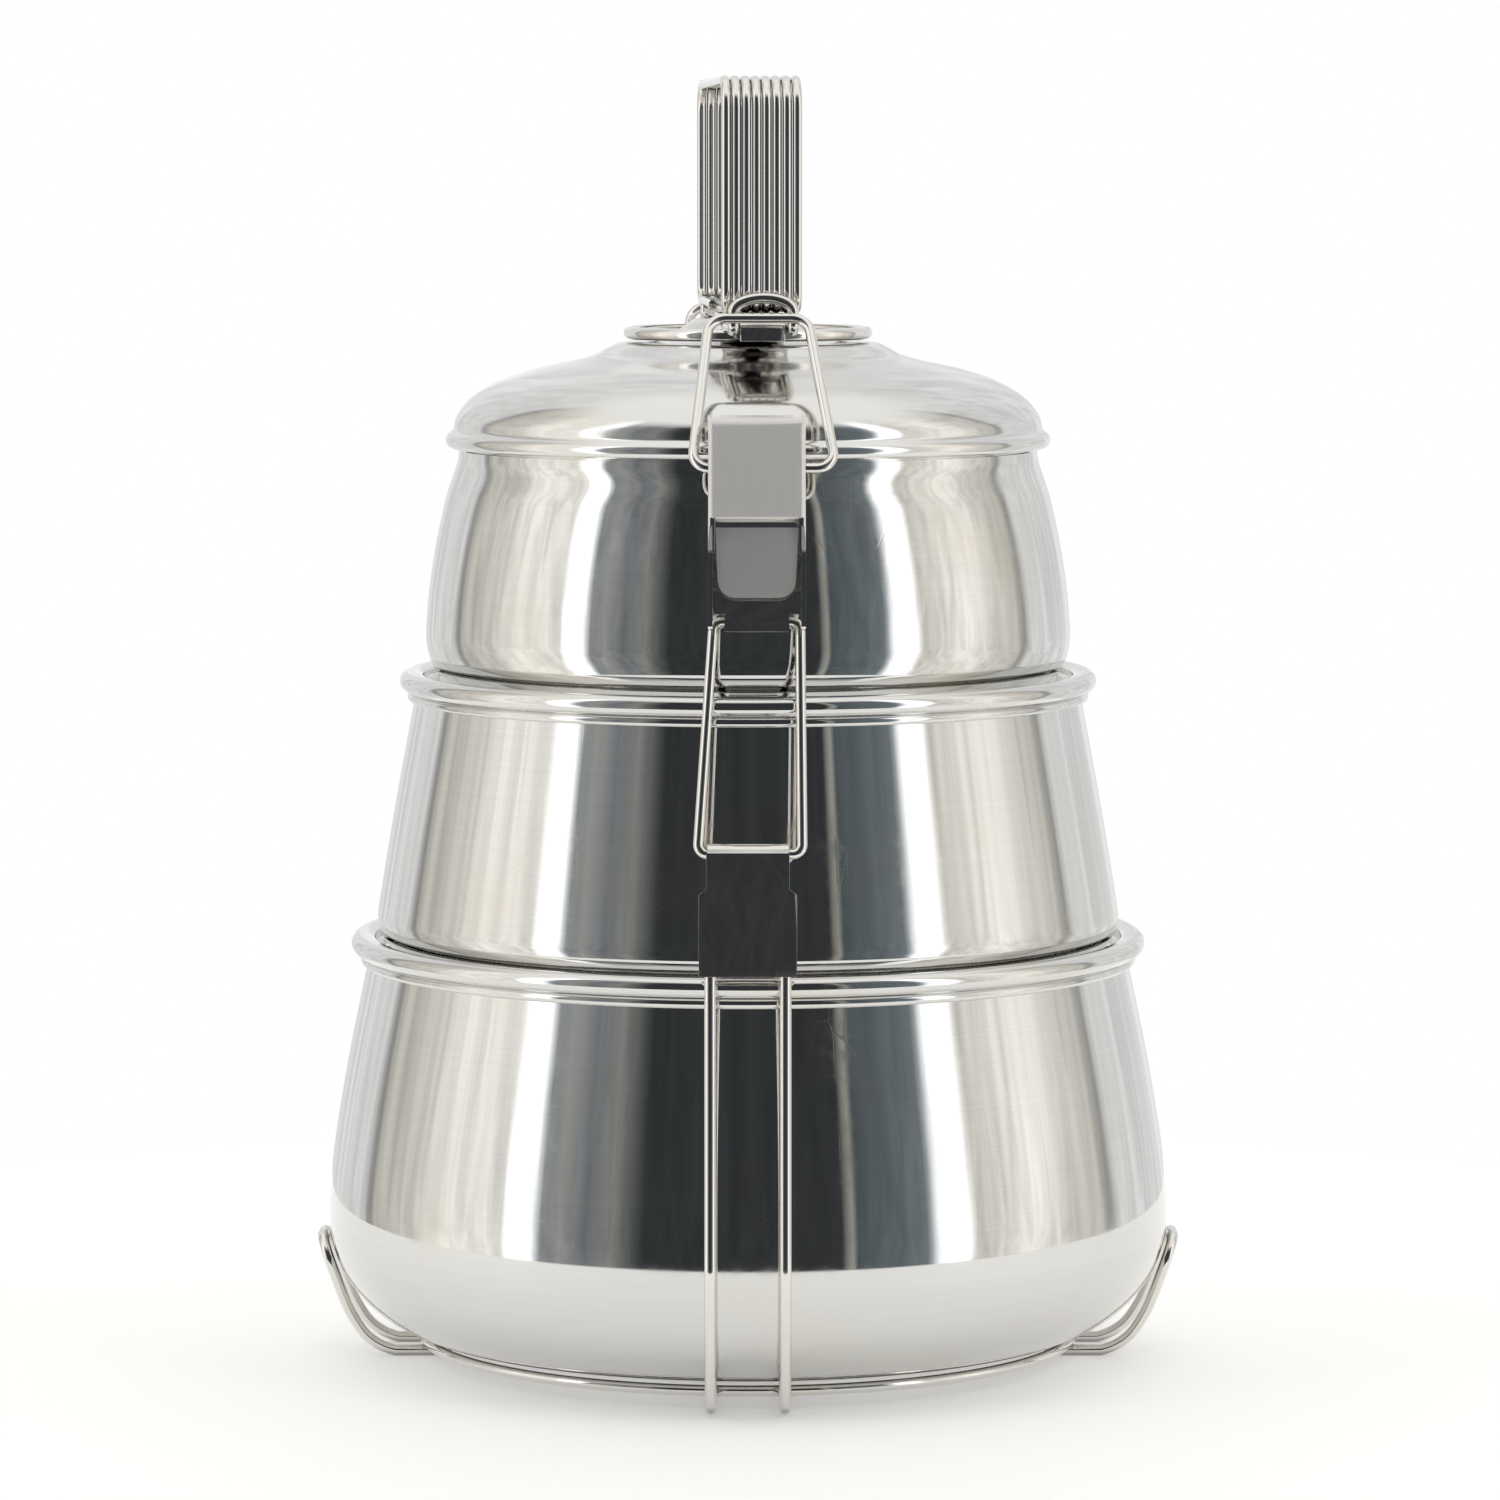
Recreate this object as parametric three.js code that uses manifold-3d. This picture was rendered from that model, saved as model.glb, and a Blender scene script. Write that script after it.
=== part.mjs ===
// Three-tier stainless steel tiffin carrier.
// Three round bowls nest on one another under a domed lid. A wire cradle carries the stack,
// and a toggle latch at the front and one at the back tie the cradle to the lid's handle.
// Millimetres, +Z up, the front latch faces -Y. Origin: centre of the footprint, on the table.

import * as THREE from 'three';
import { mergeVertices } from 'three/addons/utils/BufferGeometryUtils.js';
import Module from 'manifold-3d';

const wasm = await Module();
wasm.setup();

// ---------------------------------------------------------------- driving dimensions

const SEGMENTS = 36;           // facets round each bowl
const SHEET = 0.9;             // bowl and lid wall
const BEND_STEP = 24;          // largest turn of one facet in a wire bend, degrees

// Bowls: outer wall as [radius, height], from the corner of the base to the rim.
const BOTTOM_BOWL = {
  base: 4.4, flat: 58, belly: [83.9, 28.0],
  wall: [[83.7, 34], [82.3, 45], [79.65, 60.4], [75.9, 78.5]],
  lowBead: { r: 76.1, z: 79.6, radius: 1.15 }, topBead: { r: 77.0, z: 82.7, radius: 2.05 },
  mouth: 74.3, ledge: 71.0, ledgeTop: 81.4,
};
const MIDDLE_BOWL = {
  base: 78.9, flat: 64, belly: [73.8, 88.4],
  wall: [[72.9, 94.4], [70.2, 110.4], [66.4, 130.9]],
  lowBead: { r: 66.6, z: 131.9, radius: 1.1 }, topBead: { r: 67.2, z: 134.9, radius: 2.0 },
  mouth: 64.5, ledge: 60.4, ledgeTop: 134.0,
};
const TOP_BOWL = {
  base: 131.6, flat: 54.5, belly: [64.0, 144.5],
  wall: [[63.4, 152.4], [61.9, 162.4], [59.6, 172.4], [57.6, 178.4], [57.3, 180.65]],
};

// Lid: outer surface from the centre to the top of the rim bead.
const LID_TOP = [[0, 206.5], [10.6, 206.5], [17.6, 202.3], [25.6, 201.8], [31, 199.2], [42.4, 196.5],
  [49.6, 194.1], [55.0, 190.8], [57.8, 187.2], [58.4, 184.7]];
const LID_BEAD = { r: 58.2, z: 182.7, radius: 1.7 };
const LID_PLUG = { outer: 56.0, bottom: 177.6, wall: 0.9 };
const LID_RING = { radius: 23.4, wire: 2.5, z: 203.8 };

// Wire cradle.
const ARM_WIRE = 2.4;
const ARM_X = 7.05;
const FOOT_Z = ARM_WIRE / 2;   // the wire's lowest flat lies on the table
const ARM_SIDE = [[79.05, 98.7], [80.55, 82], [83.4, 50], [85.3, 34], [85.5, 28], [84.6, 22],
  [82.4, 15.2], [79.4, 9.6], [75.6, 4.6], [72.4, 2.0], [69.0, FOOT_Z]];
const RING_RADIUS = 65;
const RING_WIRE = 2.15;
const RING_Z = 3.68;
const LOOP_WIRE = 2.2;
const LOOP_HALF = 7.5;         // half the spacing of a side loop's two wires
const LOOP_SIDE = [[59, LOOP_WIRE / 2], [70.5, LOOP_WIRE / 2], [75.6, 3.6], [79.0, 8.2], [81.0, 12.6],
  [82.9, 17.8], [85.05, 23.6]];

// Latches, seen from the side: r is the distance out from the axis, z the height.
const LATCH_X = 1.7;           // each latch case sits a little to one side
const LINK_PIVOT = { r: 78.6, z: 108.2 };
const LEVER_PIVOT = { r: 64.7, z: 187.0 };
const LATCH_LEAN = Math.atan2(13.9, 78.8);     // from upright, top towards the axis
const PLATE_LEAN = THREE.MathUtils.degToRad(5);
const LINK_WIRE = 2.0;
const ROLL = { inner: 1.3, outer: 2.0 };       // sheet rolled round a link bar
const LINK_BOTTOM = { x: 0.4, half: 9.8, bend: 1.8 };
const LINK_TOP = { half: 8.15, bend: 1.7 };
const ANCHOR = { neck: 7.8, wing: 9.2, wingTop: -7.6, bottom: -23.0, back: -1.6, roll: 7.6 };
const CASE = { back: -4.0, front: -3.3, top: 1.5, split: -23.4, bottom: -37.7, half: 9.2, flange: 1.7,
  upperHalf: 8.0, ear: 1.8, rollHalf: 6.1, plateEnd: -34.4, clear: -2.2 };
const LINK_BAR_IN_CASE = { t: -5.3, z: -35.7 };
const LEVER = { cap: 2.9, sheet: 0.8, half: 9.2, plateEnd: -16.7, step: 1.9, flangeEnd: -22.8,
  flangeBack: -2.4, tongueHalf: 7.9, tongueEnd: -31.7, fold: 1.3 };
const PIN = { radius: 0.8, half: 9.15 };
const HOLE = 1.15;             // pin holes
const BAIL_HOLE = 1.4;
const BAIL_WIRE = 2.0;
const BAIL_IN_LEVER = { t: 0.5, z: -7.2 };
const BAIL_BOTTOM = { x: 3.0, half: 13.6, bend: 3.2 };
const BAIL_TOP = { x: 2.0, half: 9.4, bend: 3.6, r: 48.8, z: 207.8 };

// Lid hardware, turned a little against the latches.
const HARDWARE_TURN = THREE.MathUtils.degToRad(3.7);
const STRAP = { half: 6.5, tab: 4.3, narrowAt: 38, top: 207.9, sheet: 1.0 };
const HOOK_WIRE = 2.2;
const HOOK = { half: 5.75, r: 46.0, foot: 205.4, shoulder: 208.6, crown: 211.6, inner: 27.5 };
const COIL = { wire: 1.8, pitch: 1.95, turns: 8, reach: 41.2, low: 209.4, high: 253.1, topBend: 6.0,
  lowBend: 3.4 };

// ---------------------------------------------------------------- helpers

const v2 = ([x, y]) => new THREE.Vector2(x, y);
const v3 = (x, y, z) => new THREE.Vector3(x, y, z);

function steel(color, roughness) {
  return new THREE.MeshStandardMaterial({ color, roughness, metalness: 1 });
}

// Welds a geometry into one closed indexed body with its faces pointing out.
function closed(geometry) {
  const loose = geometry.clone();
  loose.deleteAttribute('normal');
  loose.deleteAttribute('uv');
  const welded = mergeVertices(loose, 1e-4);
  const p = welded.attributes.position;
  const corner = [v3(), v3(), v3()];
  const keep = [];
  let volume = 0;
  for (let i = 0; i < welded.index.count; i += 3) {
    const t = [0, 1, 2].map((k) => welded.index.getX(i + k));
    if (t[0] === t[1] || t[1] === t[2] || t[2] === t[0]) continue;
    corner.forEach((c, k) => c.fromBufferAttribute(p, t[k]));
    volume += corner[0].dot(corner[1].clone().cross(corner[2]));
    keep.push(t);
  }
  const index = keep.flatMap((t) => (volume < 0 ? [t[0], t[2], t[1]] : t));
  welded.setIndex(index);
  welded.computeVertexNormals();
  return welded;
}

function toSolid(geometry) {
  const g = closed(geometry);
  return new wasm.Manifold(new wasm.Mesh({
    numProp: 3,
    vertProperties: new Float32Array(g.attributes.position.array),
    triVerts: new Uint32Array(g.index.array),
  }));
}

function fromSolid(solid) {
  const mesh = solid.getMesh();
  const g = new THREE.BufferGeometry();
  g.setAttribute('position', new THREE.BufferAttribute(new Float32Array(mesh.vertProperties), 3));
  g.setIndex(new THREE.BufferAttribute(new Uint32Array(mesh.triVerts), 1));
  g.computeVertexNormals();
  return g;
}

function piece(parent, name, geometry, material) {
  const mesh = new THREE.Mesh(closed(geometry), material);
  mesh.name = name;
  parent.add(mesh);
  return mesh;
}

// Points on an arc in a plane, both ends included. Angles in degrees.
function arc(cx, cy, radius, from, to, steps) {
  return Array.from({ length: steps + 1 }, (_, i) => {
    const a = THREE.MathUtils.degToRad(from + (to - from) * (i / steps));
    return [cx + radius * Math.cos(a), cy + radius * Math.sin(a)];
  });
}

// Moves an open line sideways, to the right of its direction, keeping its corners mitred.
function offset(line, distance) {
  const normal = (a, b) => v2([b[1] - a[1], a[0] - b[0]]).normalize();
  return line.map((point, i) => {
    const before = i > 0 ? normal(line[i - 1], point) : normal(point, line[i + 1]);
    const after = i < line.length - 1 ? normal(point, line[i + 1]) : before;
    const mid = before.clone().add(after).normalize();
    const reach = distance / mid.dot(before);
    return [point[0] + mid.x * reach, point[1] + mid.y * reach];
  });
}

function lathe(profile) {
  return new THREE.LatheGeometry(profile.map(v2), SEGMENTS).rotateX(Math.PI / 2);
}

// A path through given points, used as it is: one facet per point.
class FacetPath extends THREE.Curve {
  constructor(points) {
    super();
    this.points = points;
  }

  getPoint(t, target = v3()) {
    const last = this.points.length - 1;
    const at = Math.min(t * last, last);
    const i = Math.min(Math.floor(at), last - 1);
    return target.copy(this.points[i]).lerp(this.points[i + 1], at - i);
  }

  getPointAt(u, target) {
    return this.getPoint(u, target);
  }

  getSpacedPoints() {
    return this.points.map((p) => p.clone());
  }

  getTangentAt(u, target = v3()) {
    const last = this.points.length - 1;
    const k = Math.round(u * last);
    const step = (i) => this.points[i + 1].clone().sub(this.points[i]).normalize();
    const before = step(Math.max(k - 1, 0));
    const after = step(Math.min(k, last - 1));
    return target.copy(before.add(after)).normalize();
  }
}

// Rounds the corners of a line of points. Each corner is a vector with its bend radius.
function rounded(corners) {
  const out = [corners[0].at];
  for (let i = 1; i < corners.length - 1; i += 1) {
    const { at, bend } = corners[i];
    const to = corners[i - 1].at.clone().sub(at).normalize();
    const from = corners[i + 1].at.clone().sub(at).normalize();
    const turn = Math.PI - to.angleTo(from);
    if (!bend || turn < 0.02) {
      out.push(at);
      continue;
    }
    const back = bend * Math.tan(turn / 2);
    const centre = to.clone().add(from).normalize().multiplyScalar(bend / Math.cos(turn / 2)).add(at);
    const start = to.clone().multiplyScalar(back).add(at).sub(centre);
    const end = from.clone().multiplyScalar(back).add(at).sub(centre);
    const steps = Math.max(2, Math.ceil(THREE.MathUtils.radToDeg(turn) / BEND_STEP));
    const axis = start.clone().cross(end).normalize();
    for (let k = 0; k <= steps; k += 1) {
      out.push(start.clone().applyAxisAngle(axis, (turn * k) / steps).add(centre));
    }
  }
  out.push(corners[corners.length - 1].at);
  return out;
}

// Wire of a faceted section whose flats touch the round wire that it stands for.
function wire(points, diameter, sides = 8) {
  const reach = diameter / 2 / Math.cos(Math.PI / sides);
  const section = new THREE.Shape(Array.from({ length: sides }, (_, k) => {
    const a = ((k + 0.5) * 2 * Math.PI) / sides;
    return v2([reach * Math.cos(a), reach * Math.sin(a)]);
  }));
  return new THREE.ExtrudeGeometry(section, {
    steps: points.length - 1, bevelEnabled: false, extrudePath: new FacetPath(points),
  });
}

// A flat outline in the side plane (t outwards, z up) made solid across x.
function across(outline, width) {
  const g = new THREE.ExtrudeGeometry(new THREE.Shape(outline.map(v2)), {
    depth: width, bevelEnabled: false,
  });
  g.translate(0, 0, -width / 2);
  return g.applyMatrix4(new THREE.Matrix4().makeBasis(v3(0, -1, 0), v3(0, 0, 1), v3(1, 0, 0)));
}

// A front outline (x, z) made solid through the depth of a latch part.
function through(outline, depth) {
  const g = new THREE.ExtrudeGeometry(new THREE.Shape(outline.map(v2)), {
    depth, bevelEnabled: false,
  });
  g.translate(0, 0, -depth / 2);
  return g.applyMatrix4(new THREE.Matrix4().makeBasis(v3(1, 0, 0), v3(0, 0, 1), v3(0, -1, 0)));
}

function crossBore(radius, t, z, width) {
  const g = new THREE.CylinderGeometry(radius, radius, width, 12);
  g.rotateZ(Math.PI / 2);
  return g.translate(0, -t, z);
}

// Sheet bent along a side line: the line is its outer face.
function bentSheet(line, thickness, width) {
  return across([...line, ...offset(line, thickness).reverse()], width);
}

function pair(outline, inner, outer) {
  return [1, -1].map((side) => {
    const g = across(outline, outer - inner);
    return toSolid(g.translate((side * (inner + outer)) / 2, 0, 0));
  });
}

// ---------------------------------------------------------------- colours

const POLISHED = () => steel(0xd0d2d1, 0.12);
const LID_STEEL = () => steel(0xd8d8d5, 0.2);
const WIRE_STEEL = () => steel(0xc8c6c2, 0.16);
const STAMPED = () => steel(0xd2cfca, 0.25);

// ---------------------------------------------------------------- bowls and lid

function corner(bowl, steps) {
  const [r, z] = bowl.belly;
  return Array.from({ length: steps + 1 }, (_, i) => {
    const a = (Math.PI / 2) * (i / steps);
    return [bowl.flat + (r - bowl.flat) * Math.sin(a), z - (z - bowl.base) * Math.cos(a)];
  });
}

function rimmedBowl(bowl) {
  const outer = [...corner(bowl, 5), ...bowl.wall];
  const { lowBead: low, topBead: top, mouth, ledge, ledgeTop } = bowl;
  const rim = [
    ...arc(low.r, low.z, low.radius, -45, 60, 2),
    ...arc(top.r, top.z, top.radius, -62, 90, 4),
    [mouth, top.z + top.radius - 0.8],
    [mouth, ledgeTop + 0.5],
    [ledge, ledgeTop],
    [ledge, ledgeTop - 1.1],
  ];
  const inner = offset(outer, -SHEET).reverse();
  return lathe([[0, bowl.base], ...outer, ...rim, ...inner, [0, bowl.base + SHEET]]);
}

function plainBowl(bowl) {
  const outer = [...corner(bowl, 4), ...bowl.wall];
  const inner = offset(outer, -SHEET).reverse();
  return lathe([[0, bowl.base], ...outer, ...inner, [0, bowl.base + SHEET]]);
}

function lidBody() {
  const { r, z, radius } = LID_BEAD;
  const { outer, bottom, wall } = LID_PLUG;
  const under = offset(LID_TOP.slice(1), SHEET).reverse();
  return lathe([
    ...LID_TOP,
    ...arc(r, z, radius, 60, -90, 5),
    [outer, z - radius], [outer, bottom], [outer - wall, bottom], [outer - wall, z - radius + wall],
    ...under,
    [0, LID_TOP[0][1] - SHEET],
  ]);
}

// ---------------------------------------------------------------- cradle

function cradleWire(x) {
  const front = ARM_SIDE.map(([r, z]) => v3(x, -r, z));
  const rear = ARM_SIDE.map(([r, z]) => v3(x, r, z)).reverse();
  return wire([...front, ...rear], ARM_WIRE);
}

function sideLoop(side) {
  const up = LOOP_SIDE.map(([r, z]) => ({ at: v3(side * r, -LOOP_HALF, z), bend: 5.5 }));
  const down = LOOP_SIDE.map(([r, z]) => ({ at: v3(side * r, LOOP_HALF, z), bend: 5.5 })).reverse();
  const corners = [...up, ...down];
  const last = LOOP_SIDE.length;
  corners.forEach((c, i) => {
    if (i !== last - 1 && i !== last) c.bend = 0;
  });
  return wire(rounded(corners), LOOP_WIRE);
}

function baseRing() {
  return new THREE.TorusGeometry(RING_RADIUS, RING_WIRE / 2, 8, SEGMENTS);
}

// The plate that ties two arm wires together and is rolled round the link's lower bar.
function anchorPlate() {
  const { neck, wing, wingTop, bottom, back, roll } = ANCHOR;
  const curl = [...arc(0, 0, ROLL.outer, 0, 205, 8), ...arc(0, 0, ROLL.inner, 205, 0, 8)];
  const face = [[ROLL.outer, 0.2], [ROLL.outer, bottom], [ROLL.inner, bottom], [ROLL.inner, 0.2]];
  const front = [[-neck, 0.2], [neck, 0.2], [neck, wingTop + 1], [wing, wingTop], [wing, bottom],
    [-wing, bottom], [-wing, wingTop], [-neck, wingTop + 1]];
  let solid = toSolid(across(face, 2 * wing)).intersect(toSolid(through(front, 12)));
  solid = solid.add(toSolid(across(curl, 2 * roll)));
  const side = [[back, wingTop - 0.6], [ROLL.outer, wingTop], [ROLL.outer, bottom], [back, bottom + 0.6]];
  pair(side, wing - 0.7, wing).forEach((flange) => {
    solid = solid.add(flange);
  });
  return fromSolid(solid);
}

// ---------------------------------------------------------------- latches

const outward = v3(0, -Math.cos(LATCH_LEAN), Math.sin(LATCH_LEAN));
const upward = v3(0, Math.sin(LATCH_LEAN), Math.cos(LATCH_LEAN));

// A point given in a latch case's own side plane, in the part's frame.
function inCase({ t, z }) {
  return v3(0, -LEVER_PIVOT.r, LEVER_PIVOT.z).addScaledVector(outward, t).addScaledVector(upward, z);
}

// A closed loop of wire whose two ends butt in the middle of its first bar.
function wireLoop(first, second, diameter) {
  const butt = 0.15;
  const at = (bar, side) => v3(bar.x + side * bar.half, bar.at.y, bar.at.z);
  return wire(rounded([
    { at: v3(first.x + butt, first.at.y, first.at.z) },
    { at: at(first, 1), bend: first.bend },
    { at: at(second, 1), bend: second.bend },
    { at: at(second, -1), bend: second.bend },
    { at: at(first, -1), bend: first.bend },
    { at: v3(first.x - butt, first.at.y, first.at.z) },
  ]), diameter);
}

function linkLoop() {
  const top = { ...LINK_TOP, x: LATCH_X, at: inCase(LINK_BAR_IN_CASE) };
  const bottom = { ...LINK_BOTTOM, at: v3(0, -LINK_PIVOT.r, LINK_PIVOT.z) };
  return wireLoop(top, bottom, LINK_WIRE);
}

function bailLoop() {
  const bottom = { ...BAIL_BOTTOM, at: inCase(BAIL_IN_LEVER) };
  const top = { ...BAIL_TOP, at: v3(0, -BAIL_TOP.r, BAIL_TOP.z) };
  return wireLoop(bottom, top, BAIL_WIRE);
}

function latchCase() {
  const { back, front, top, split, bottom, half, flange, upperHalf, ear, rollHalf, plateEnd, clear } = CASE;
  const plate = [[back, bottom], [front, bottom], [front, top], [back, top]];
  const outline = [[-rollHalf, bottom], [rollHalf, bottom], [rollHalf, plateEnd], [half, plateEnd],
    [half, split], [upperHalf, split + 0.8], [upperHalf, top], [-upperHalf, top],
    [-upperHalf, split + 0.8], [-half, split], [-half, plateEnd], [-rollHalf, plateEnd]];
  let solid = toSolid(across(plate, 2 * half)).intersect(toSolid(through(outline, 20)));
  // The cheeks are cut back over the link's legs, so that the case can fold outwards on it.
  const side = [[back, plateEnd], [clear, bottom], [flange - 0.4, bottom], [flange, bottom + 0.6],
    [flange, split], [back, split]];
  pair(side, half - 0.85, half).forEach((cheek) => {
    solid = solid.add(cheek);
  });
  const bar = LINK_BAR_IN_CASE;
  const curl = [...arc(bar.t, bar.z, ROLL.outer, 0, -250, 10),
    ...arc(bar.t, bar.z, ROLL.inner, -250, 0, 10)];
  solid = solid.add(toSolid(across(curl, 2 * rollHalf)));
  const lug = [[back + 0.2, 0.4], ...arc(0, 0, ear, 165, -90, 9), [back + 0.2, -5]];
  pair(lug, upperHalf - 0.8, upperHalf).forEach((each) => {
    solid = solid.add(each);
  });
  return fromSolid(solid.subtract(toSolid(crossBore(HOLE, 0, 0, 2 * half))));
}

function latchLever() {
  const { cap, sheet, half, plateEnd, step, flangeEnd, flangeBack, tongueHalf, tongueEnd, fold } = LEVER;
  const low = cap - step;
  const face = [...arc(0, 0, cap, 150, 0, 7), [cap, plateEnd], [low + 1.0, plateEnd - 0.35],
    [low + 0.25, plateEnd - 0.8], [low, plateEnd - 1.8], [low - 0.3, tongueEnd]];
  const r = 3.2;
  const tip = tongueHalf - 0.5;
  const front = [[-half, 4], [-half, plateEnd - 0.1], [-tongueHalf, plateEnd - 0.1],
    ...arc(r - tip, tongueEnd + r, r, 180, 270, 4), ...arc(tip - r, tongueEnd + r, r, 270, 360, 4),
    [tongueHalf, plateEnd - 0.1], [half, plateEnd - 0.1], [half, 4]];
  let solid = toSolid(bentSheet(face, sheet, 2 * half)).intersect(toSolid(through(front, 40)));
  const side = [[flangeBack, 0.9], [-1.2, 2.1], [0.4, 2.45], [1.9, 1.6], [2.5, 0],
    [2.5, plateEnd - 1.5], [1.6, flangeEnd], [flangeBack, flangeEnd]];
  pair(side, half - sheet, half).forEach((flange) => {
    solid = solid.add(flange);
  });
  // The plate is folded into its flanges with a rounded bend.
  const plan = [[-half, 6], ...arc(fold - half, fold - cap, fold, 180, 270, 5),
    ...arc(half - fold, fold - cap, fold, 270, 360, 5), [half, 6]];
  const bends = new THREE.ExtrudeGeometry(new THREE.Shape(plan.map(v2)), {
    depth: 50, bevelEnabled: false,
  }).translate(0, 0, tongueEnd - 5);
  solid = solid.intersect(toSolid(bends));
  // The cap is cut away over the case's two lugs, so that it can swing past them.
  const relief = [[-4, -1], [1.8, -1], [1.8, 4], [-4, 4]];
  pair(relief, CASE.upperHalf - 1.1, half - sheet).forEach((cut) => {
    solid = solid.subtract(cut);
  });
  solid = solid.subtract(toSolid(crossBore(HOLE, 0, 0, 30)));
  const bail = BAIL_IN_LEVER;
  return fromSolid(solid.subtract(toSolid(crossBore(BAIL_HOLE, bail.t, bail.z, 30))));
}

function leverPin() {
  return crossBore(PIN.radius, 0, 0, 2 * PIN.half);
}

function addLatch(parent, name, turn) {
  const side = new THREE.Group();
  side.rotation.z = turn;
  parent.add(side);

  const anchor = new THREE.Group();
  anchor.position.set(0, -LINK_PIVOT.r, LINK_PIVOT.z);
  anchor.rotation.x = -PLATE_LEAN;
  side.add(anchor);
  piece(anchor, `${name}_anchor_plate`, anchorPlate(), STAMPED());

  piece(side, `${name}_link`, linkLoop(), WIRE_STEEL());
  piece(side, `${name}_bail`, bailLoop(), WIRE_STEEL());

  const body = new THREE.Group();
  body.position.set(LATCH_X, -LEVER_PIVOT.r, LEVER_PIVOT.z);
  body.rotation.x = -LATCH_LEAN;
  side.add(body);
  piece(body, `${name}_latch_case`, latchCase(), STAMPED());
  piece(body, `${name}_lever`, latchLever(), STAMPED());
  piece(body, `${name}_lever_pin`, leverPin(), STAMPED());
}

// ---------------------------------------------------------------- lid hardware

function strap() {
  const { half, tab, narrowAt, top, sheet } = STRAP;
  const line = [[-44.4, 203.2], [-44.2, top - 1.6], [-42.6, top], [42.6, top], [44.2, top - 1.6],
    [44.4, 203.2]];
  const plate = toSolid(bentSheet(line, sheet, 2 * half));
  const plan = [[-half, -narrowAt], [-tab, -narrowAt - 3], [-tab, -50], [tab, -50],
    [tab, -narrowAt - 3], [half, -narrowAt], [half, narrowAt], [tab, narrowAt + 3], [tab, 50],
    [-tab, 50], [-tab, narrowAt + 3], [-half, narrowAt]];
  const cut = new THREE.ExtrudeGeometry(new THREE.Shape(plan.map(v2)), {
    depth: 20, bevelEnabled: false,
  }).translate(0, 0, 195);
  return fromSolid(plate.intersect(toSolid(cut)));
}

// Upturned wire hook: both feet run in under the strap, the arch stands up in front of it.
function hook(side) {
  const y = side * HOOK.r;
  const { half, foot, shoulder, crown, inner } = HOOK;
  const flank = (s) => [
    { at: v3(s * half, side * inner, foot) },
    { at: v3(s * half, y, foot), bend: 1.6 },
    { at: v3(s * half, y, shoulder) },
    { at: v3(s * (half - 0.7), y, shoulder + 1.5) },
    { at: v3(s * (half - 2.1), y, crown - 0.5) },
    { at: v3(s * (half - 4.0), y, crown) },
  ];
  return wire(rounded([...flank(-1), ...flank(1).reverse()]), HOOK_WIRE);
}

// Flattened coil: the turns stand side by side, and each steps over along the bottom run.
function handleCoil() {
  const { wire: size, pitch, turns, reach, low, high, topBend, lowBend } = COIL;
  const xOf = (k) => (k - (turns - 1) / 2) * pitch;
  const corners = [{ at: v3(xOf(0), 0, low) }];
  for (let k = 0; k < turns; k += 1) {
    const x = xOf(k);
    corners.push(
      { at: v3(x, reach, low), bend: lowBend },
      { at: v3(x, reach, high), bend: topBend },
      { at: v3(x, -reach, high), bend: topBend },
      { at: v3(x, -reach, low), bend: lowBend },
    );
  }
  corners.push({ at: v3(xOf(turns - 1), 0, low) });
  return wire(rounded(corners), size, 6);
}

// ---------------------------------------------------------------- assembly

const group = new THREE.Group();

piece(group, 'bottom_bowl', rimmedBowl(BOTTOM_BOWL), POLISHED());
piece(group, 'middle_bowl', rimmedBowl(MIDDLE_BOWL), POLISHED());
piece(group, 'top_bowl', plainBowl(TOP_BOWL), POLISHED());
piece(group, 'lid', lidBody(), LID_STEEL());

piece(group, 'cradle_wire_left', cradleWire(-ARM_X), WIRE_STEEL());
piece(group, 'cradle_wire_right', cradleWire(ARM_X), WIRE_STEEL());
piece(group, 'side_loop_left', sideLoop(-1), WIRE_STEEL());
piece(group, 'side_loop_right', sideLoop(1), WIRE_STEEL());
piece(group, 'base_ring', baseRing(), WIRE_STEEL()).position.z = RING_Z;

piece(group, 'lid_ring', new THREE.TorusGeometry(LID_RING.radius, LID_RING.wire / 2, 8, SEGMENTS),
  WIRE_STEEL()).position.z = LID_RING.z;

const hardware = new THREE.Group();
hardware.rotation.z = HARDWARE_TURN;
group.add(hardware);
piece(hardware, 'handle_strap', strap(), STAMPED());
piece(hardware, 'front_hook', hook(-1), WIRE_STEEL());
piece(hardware, 'rear_hook', hook(1), WIRE_STEEL());
piece(hardware, 'handle_coil', handleCoil(), WIRE_STEEL());

addLatch(group, 'front', 0);
addLatch(group, 'rear', Math.PI);

export default group;
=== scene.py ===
# Three-tier stainless steel tiffin carrier: smooth bowls, wires and stamped latches around the
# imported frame, polished and satin steels, a pale studio and the camera.
import math
import bmesh
import bpy
from mathutils import Matrix, Quaternion, Vector


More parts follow.
